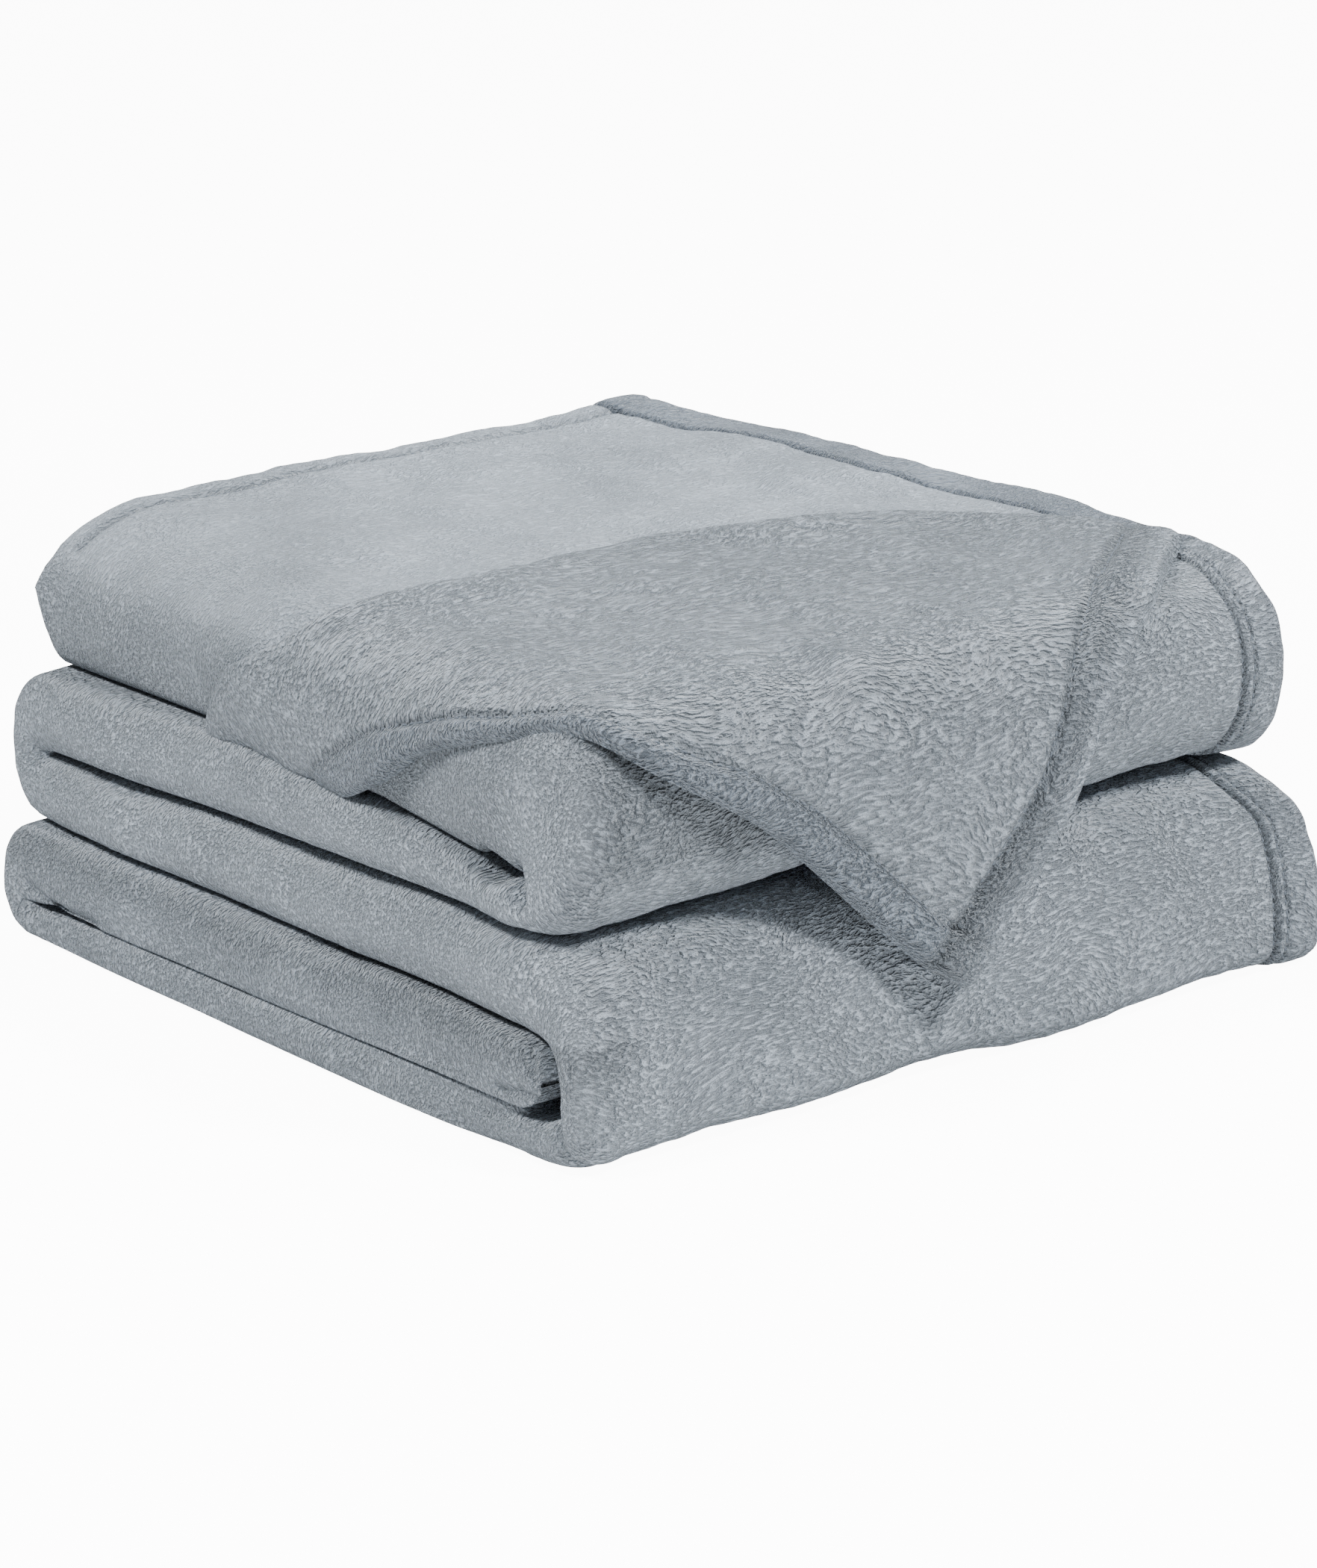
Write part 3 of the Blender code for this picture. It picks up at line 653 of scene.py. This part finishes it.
first, last = rows["top_run"]
hem_row = first + int(np.argmin(np.abs(TOP_BACK - row_y[first:last] - HEM)))
for name, rows_, material, slot, nodes in (
    ("top_run_cloth", (first, hem_row + 1), FLEECE, "fleece", ("top_run",)),
    ("top_back_hem_cloth", (hem_row, last), FLEECE, "hem", ("top_back_hem",)),
):
    piece = strip_piece(name, *rows_, body_dense, material)
    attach(piece, "upper_stack")
    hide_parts(*nodes)

first, last = rows["middle_back_fold"]
piece = strip_piece("middle_back_fold_cloth", first, last, range(COLUMNS), FLEECE)
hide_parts("second_run_back_fold", "third_run_back_fold")
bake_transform(piece)


# ---- The turned corner: a sheet laid over the top run's surface and hanging over its front ----
# Drawn flat in (p, q): p across from the left end and round its lobe, q back from the front edge

over_front = arc(0.0, 0.034, 0.087, 0.165, 120, 2.2)[60:]
over_front[:, 0] = ROUND - over_front[:, 0]
over_front = over_front[::-1]
over_front = np.vstack([over_front, [[-0.0025, 0.10], [-0.0040, 0.07], [-0.0085, 0.04], [-0.0100, 0.02]]])
over_along = np.concatenate([[0], np.cumsum(np.linalg.norm(np.diff(over_front, axis=0), axis=1))])
UPPER_QUARTER, LOWER_QUARTER = 0.050, 0.029     # length of cloth round each half of the top run's left lobe


def drape(p, q):
    """Where a point of the flat corner lies once it is laid over the top run."""
    on_top_ = q >= ROUND
    y = np.where(on_top_, q, np.interp(ROUND - q, over_along, over_front[:, 0]))
    inset, shoulder = line(TOP_INSET, y), line(TOP_SHOULDER, y)
    edge = inset + shoulder
    z_left, z_right = line(LEFT_LEVELS["top"], y), line(RIGHT_LEVELS["top"], y)
    z = np.where(on_top_, z_left + (z_right - z_left) * smooth(p, 0.05, 0.18),
                 np.interp(ROUND - q, over_along, over_front[:, 1]))
    pole_y = np.maximum(y, UPPER_FRONT)
    pole_z = line(LEFT_LEVELS["fourth"], pole_y)
    gone = (edge - p).clip(0)
    angle = math.pi / 2 * (1 - np.minimum(gone / UPPER_QUARTER, 1)
                           - ((gone - UPPER_QUARTER) / LOWER_QUARTER).clip(0, 0.93))
    round_ = p < edge
    half_ = (np.where(round_, np.sin(angle), 1) + 1) / 2
    depth = np.where(angle > 0, shoulder, TOP_LOBE)
    x = np.where(round_, inset + depth * (1 - np.abs(np.cos(angle)) ** np.where(angle > 0, 0.9, 0.7)), p)
    return np.stack([x, pole_y + (y - pole_y) * half_, pole_z + (z - pole_z) * half_], -1)


# Its four corners, and the few points that each edge bends at
RIDGE_LEFT, RIDGE_RIGHT, HEM_LEFT, TIP = (-0.019, 0.246), (0.346, 0.046), (-0.032, 0.150), (0.179, -0.117)
RIDGE = [RIDGE_LEFT, (0.002, 0.222), (0.024, 0.181), (0.060, 0.168), (0.150, 0.173), (0.245, 0.152),
         (0.318, 0.099), RIDGE_RIGHT]
SIDE = [RIDGE_RIGHT, (0.300, 0.013), (0.260, -0.018), (0.236, -0.062), (0.205, -0.097), TIP]
FRONT = [HEM_LEFT, (-0.005, 0.082), (0.008, 0.042), (0.030, 0.001), (0.090, -0.039), (0.155, -0.100), TIP]
LEFT = [RIDGE_LEFT, (-0.025, 0.200), HEM_LEFT]
CORNER_SIDE_HEM = 0.0225
NU, NV = 190, 130
ridge, front = rounded_path(RIDGE, NU), rounded_path(FRONT, NU)
left, side = rounded_path(LEFT, NV), rounded_path(SIDE, NV)
u, v = np.linspace(0, 1, NU), np.linspace(0, 1, NV)
U, V = np.meshgrid(u, v, indexing="ij")
Q = ((1 - V)[..., None] * ridge[:, None] + V[..., None] * front[:, None]
     + (1 - U)[..., None] * left[None] + U[..., None] * side[None]
     - ((1 - U) * (1 - V))[..., None] * ridge[0] - (U * (1 - V))[..., None] * ridge[-1]
     - ((1 - U) * V)[..., None] * front[0] - (U * V)[..., None] * front[-1])
to_side, to_front, to_ridge = (segment_distance(Q, path) for path in (side, front, ridge))
to_rim = np.minimum(to_side, to_front)
front_hem = 0.0185 - 0.0100 * bump(U, 0.36, 0.26)          # narrowest where the hem rolls over the front edge
base = drape(Q[..., 0], Q[..., 1])
up = grid_normals(base, cyclic=False)
if up[NU // 2, 5, 2] < 0:
    up = -up
for _ in range(6):
    up[1:-1] = (up[:-2] + 2 * up[1:-1] + up[2:]) / 4
    up[:, 1:-1] = (up[:, :-2] + 2 * up[:, 1:-1] + up[:, 2:]) / 4
up /= np.linalg.norm(up, axis=-1, keepdims=True)
rim = np.sqrt(np.clip(1 - (1 - np.clip(to_rim / 0.004, 0, 1)) ** 2, 0, 1))
fold = np.sqrt(np.clip(1 - (1 - np.clip(to_ridge / 0.006, 0, 1)) ** 2, 0, 1))
thick = FLAP * rim * fold * (1 + 0.25 * bump(to_ridge, 0.010, 0.009))
in_side = (1 - smooth(to_side, CORNER_SIDE_HEM - 0.004, CORNER_SIDE_HEM - 0.001)) * smooth(to_side, 0, 0.004)
in_front = (1 - smooth(to_front - front_hem, -0.003, 0)) * smooth(to_front, 0, 0.004)
tucked = smooth(Q[..., 0], -0.030, 0.0)
detail = 0.0012 * in_side - 0.0024 * bump(to_side, CORNER_SIDE_HEM, 0.0021)
detail += (0.0009 * in_front - 0.0018 * bump(to_front, front_hem, 0.0017)) * (0.3 + 0.7 * tucked)
detail += 0.0007 * SWELL(base + 0.31) + 0.0003 * RIPPLE(base + 0.2) + 0.00012 * PILE(base)
detail *= rim * fold
# Painted shade in the turned corner's hem grooves; the side hem darker next to its groove and where it hangs;
# a painted highlight along the side hem's outer rim
flap_shade = 1 - 0.45 * bump(to_side, CORNER_SIDE_HEM, 0.0032) - 0.34 * bump(to_front, front_hem, 0.0020)
flap_shade *= 1 - 0.20 * (to_side < CORNER_SIDE_HEM) * (1 - smooth(Q[..., 1], -0.08, 0.0))
flap_shade *= 1 - 0.45 * bump(to_side, 0.0150, 0.0070)
flap_shade *= 1 + 0.20 * bump(to_side, 0.0050, 0.0050) * (to_front > 0.02)
hanging = smooth(-Q[..., 1], -0.03, 0.02)
lift = 0.0004 + 0.0012 * (SWELL(base * 1.3 + 0.7) * 0.5 + 0.5).clip(0, 1) * hanging
outer_skin = base + up * (lift + thick + detail)[..., None]
inner_skin = base + up * lift[..., None]
outer_n = grid_normals(outer_skin, cyclic=False)
if outer_n[NU // 2, 5, 2] < 0:
    outer_n = -outer_n
    FLAP_FLIP = True
else:
    FLAP_FLIP = False
inner_n = -up


def flap_piece(name, keep, material):
    """The quads of the turned corner whose middle is in keep, outside and inside, closed round their edge."""
    index = np.arange(NU * NV).reshape(NU, NV)
    size = NU * NV
    faces, edges = [], {}
    for i in range(NU - 1):
        for j in range(NV - 1):
            if keep[i, j]:
                quad = (index[i, j], index[i, j + 1], index[i + 1, j + 1], index[i + 1, j])
                quad = quad if FLAP_FLIP else quad[::-1]
                faces.append(tuple(int(k) for k in quad))
                faces.append(tuple(int(k) + size for k in quad[::-1]))
                for a, b in zip(quad, quad[1:] + quad[:1]):
                    if (b, a) in edges:
                        del edges[(b, a)]
                    else:
                        edges[(a, b)] = True
    for a, b in edges:
        faces.append((int(b), int(a), int(a) + size, int(b) + size))
    vertices = np.concatenate([outer_skin.reshape(-1, 3), inner_skin.reshape(-1, 3)])
    normals = np.concatenate([outer_n.reshape(-1, 3), inner_n.reshape(-1, 3)])
    shade = np.tile(flap_shade.reshape(-1), 2)
    shade = np.stack([shade, np.ones_like(shade)], 1)
    used = sorted({k for face in faces for k in face})
    renumber = {k: n for n, k in enumerate(used)}
    faces = [tuple(renumber[k] for k in face) for face in faces]
    return mesh_object(name, vertices[used], normals[used], shade[used], faces, material)


middle = (Q[:-1, :-1] + Q[1:, 1:]) / 2
side_middle = (to_side[:-1, :-1] + to_side[1:, 1:]) / 2
front_middle = (to_front[:-1, :-1] + to_front[1:, 1:]) / 2
lying = middle[..., 1] > 0.070
is_side = side_middle < CORNER_SIDE_HEM
is_front = ~is_side & (front_middle < front_hem[:-1, :-1])
is_panel = ~is_side & ~is_front


def corner_piece(name, keep, material, lies, nodes, hems=()):
    """A part of the turned corner, cut from its quads and baked in place; the parts it stands for are hidden.
    """
    piece = flap_piece(name, keep, material)
    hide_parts(*nodes)
    if lies:
        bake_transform(piece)
    else:
        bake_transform(piece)
    if not hems:
        return piece
    return piece


lying_hem = corner_piece(
    "corner_front_hem_cloth", is_front & lying, SHADED_FRONT_HEM_FLEECE, True, ("corner_front_hem",))
hanging_hems = [
    corner_piece(
        "tip_front_hem_cloth", is_front & ~lying, SHADED_FRONT_HEM_FLEECE, False, ("tip_front_hem",)),
    corner_piece(
        "tip_side_hem_cloth", is_side & ~lying, HEM_FLEECE, False,
        ("tip_side_hem", "corner_side_hem")),
]
corner_piece(
    "corner_panel_cloth", is_panel & lying, CORNER_FLEECE, True, ("corner_panel",), [lying_hem])
corner_piece(
    "tip_panel_cloth", is_panel & ~lying, CORNER_FLEECE, False, ("tip_panel",), hanging_hems)


# ---- Topstitching ----

def stitch_rows(name, paths, body=None):
    """Short stitches lying in a groove, along paths of (point, outward normal)."""
    length, gap, radius, sides = 0.0026, 0.0013, 0.00045, 6
    vertices, faces = [], []
    for points, normals in paths:
        along = np.concatenate([[0], np.cumsum(np.linalg.norm(np.diff(points, axis=0), axis=1))])
        at = 0.002
        while at + length < along[-1] - 0.002:
            stations = at + length * np.array([0, 0.12, 0.5, 0.88, 1.0])
            fat = np.array([0.25, 0.85, 1.0, 0.85, 0.25])
            sink = np.array([-0.0006, -0.0001, 0.0002, -0.0001, -0.0006])
            middle_ = np.stack([np.interp(stations, along, points[:, i]) for i in range(3)], 1)
            out = np.stack([np.interp(stations, along, normals[:, i]) for i in range(3)], 1)
            out /= np.linalg.norm(out, axis=1)[:, None]
            middle_ = middle_ + out * sink[:, None]
            tangent = middle_[-1] - middle_[0]
            tangent /= np.linalg.norm(tangent)
            across = np.cross(tangent[None], out)
            start = len(vertices)
            for m, o, a, f in zip(middle_, out, across, fat):
                for k in range(sides):
                    t = 2 * math.pi * k / sides
                    vertices.append(m + radius * f * (math.cos(t) * a + math.sin(t) * o))
            for ring in range(4):
                for k in range(sides):
                    l = (k + 1) % sides
                    faces.append((start + ring * sides + k, start + ring * sides + l,
                                  start + (ring + 1) * sides + l, start + (ring + 1) * sides + k))
            faces.append(tuple(start + k for k in range(sides))[::-1])
            faces.append(tuple(start + 4 * sides + k for k in range(sides)))
            at += length + gap
    mesh = bpy.data.meshes.new(name)
    mesh.from_pydata((np.array(vertices) + ORIGIN).tolist(), [], faces)
    mesh.update()
    mesh.shade_smooth()
    mesh.materials.append(THREAD)
    obj = bpy.data.objects.new(name, mesh)
    bpy.context.scene.collection.objects.link(obj)
    if body:
        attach(obj, body)
    return obj


GROOVE_2 = B_EDGE + int(np.argmin(np.abs(EDGE_STEPS[::-1] - (HEM - ROWS_APART))))
for prefix, body in (("lower", "lower_stack"), ("upper", "upper_stack")):
    first, last = rows[f"{prefix}_front_fold"]
    for label, column in (("inner", GROOVE_B), ("outer", GROOVE_2)):
        part = slice(first + 6, last - 6)
        row = stitch_rows(f"{prefix}_fold_{label}_stitches", [(P[part, column], N[part, column])], body)
        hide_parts(f"{prefix}_fold_{label}_stitching")
first, last = rows["top_run"]
side_part = slice(first + 2, hem_row - 2)
row = stitch_rows("top_side_stitches", [(P[side_part, GROOVE_B], N[side_part, GROOVE_B])], "upper_stack")
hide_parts("top_side_stitching")
back_part = slice(B_FIRST + 6, GROOVE_B)
row = stitch_rows("top_back_stitches", [(P[hem_row, back_part], N[hem_row, back_part])], "upper_stack")
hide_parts("top_back_stitching")


def flap_line(offset, along_rows, start, end):
    """The line on the turned corner where the offset field is nearest to nought, as points and normals."""
    points, normals = [], []
    for k in range(start, end):
        column = offset[:, k] if along_rows else offset[k]
        n = int(np.argmin(np.abs(column)))
        i, j = (n, k) if along_rows else (k, n)
        points.append(outer_skin[i, j])
        normals.append(outer_n[i, j])
    points, normals = np.array(points), np.array(normals)
    for _ in range(8):
        points[1:-1] = (points[:-2] + 2 * points[1:-1] + points[2:]) / 4
    return points, normals


for name, lines in (
    ("side", flap_line(to_side - CORNER_SIDE_HEM, True, 6, int(NV * 0.86))),
    ("front", flap_line(to_front - front_hem, False, int(NU * 0.16), int(NU * 0.91))),
):
    piece = stitch_rows(f"tip_{name}_stitches", [lines])
    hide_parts(f"tip_{name}_stitching", f"corner_{name}_stitching")
    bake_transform(piece)

# ---- Floor, light and camera ----

def camera_glow(tree, dim, bright):
    """A strength that is bright for what the camera sees and dim for the light it gives the object."""
    path = tree.nodes.new("ShaderNodeLightPath")
    return ranged(tree, path.outputs["Is Camera Ray"], 0.0, 1.0, dim, bright)


bpy.ops.mesh.primitive_plane_add(size=12, location=(0, 0, -0.0015))
floor = bpy.context.object
floor.name = "floor"
floor_material = plain_material("floor_white", (0.93, 0.935, 0.94), 0.9)
floor_tree = floor_material.node_tree
floor_shader = floor_tree.nodes["Principled BSDF"]
floor_shader.inputs["Emission Color"].default_value = (1.0, 1.0, 1.0, 1.0)
feed(floor_tree, floor_shader.inputs["Emission Strength"], camera_glow(floor_tree, 0.0, 11.0))
floor.data.materials.append(floor_material)

world = bpy.data.worlds.new("studio")
bpy.context.scene.world = world
world.use_nodes = True
sky = world.node_tree.nodes["Background"]
sky.inputs["Color"].default_value = (1.0, 1.0, 1.0, 1.0)
feed(world.node_tree, sky.inputs["Strength"], camera_glow(world.node_tree, 0.26, 16.0))


def area_light(name, place, target, size, power):
    light = bpy.data.lights.new(name, "AREA")
    light.shape = "RECTANGLE"
    light.size, light.size_y = size
    light.energy = power
    obj = bpy.data.objects.new(name, light)
    obj.location = place
    obj.rotation_euler = (Vector(target) - Vector(place)).to_track_quat("-Z", "Y").to_euler()
    bpy.context.scene.collection.objects.link(obj)


area_light("left_key", (-1.3, 0.1, 1.8), (0, 0, 0.08), (0.4, 0.4), 52)
area_light("front_key", (0.6, -1.5, 1.9), (0, 0, 0.08), (0.4, 0.4), 69)

AZIMUTH, ELEVATION = math.radians(-39.7), math.radians(18.0)
back = Vector((
    math.sin(AZIMUTH) * math.cos(ELEVATION), -math.cos(AZIMUTH) * math.cos(ELEVATION), math.sin(ELEVATION)))
right = Vector((math.cos(AZIMUTH), math.sin(AZIMUTH), 0))
up_ = back.cross(right)
camera = bpy.data.cameras.new("camera")
camera.lens = 8000 / 2100 * 36
camera.sensor_width = 36
eye = Vector(ORIGIN.tolist()) + right * 0.0306 + up_ * 0.1436 + back * 2.149
view = bpy.data.objects.new("camera", camera)
view.matrix_world = Matrix.Translation(eye) @ Matrix((right, up_, back)).transposed().to_4x4()
bpy.context.scene.collection.objects.link(view)
bpy.context.scene.camera = view
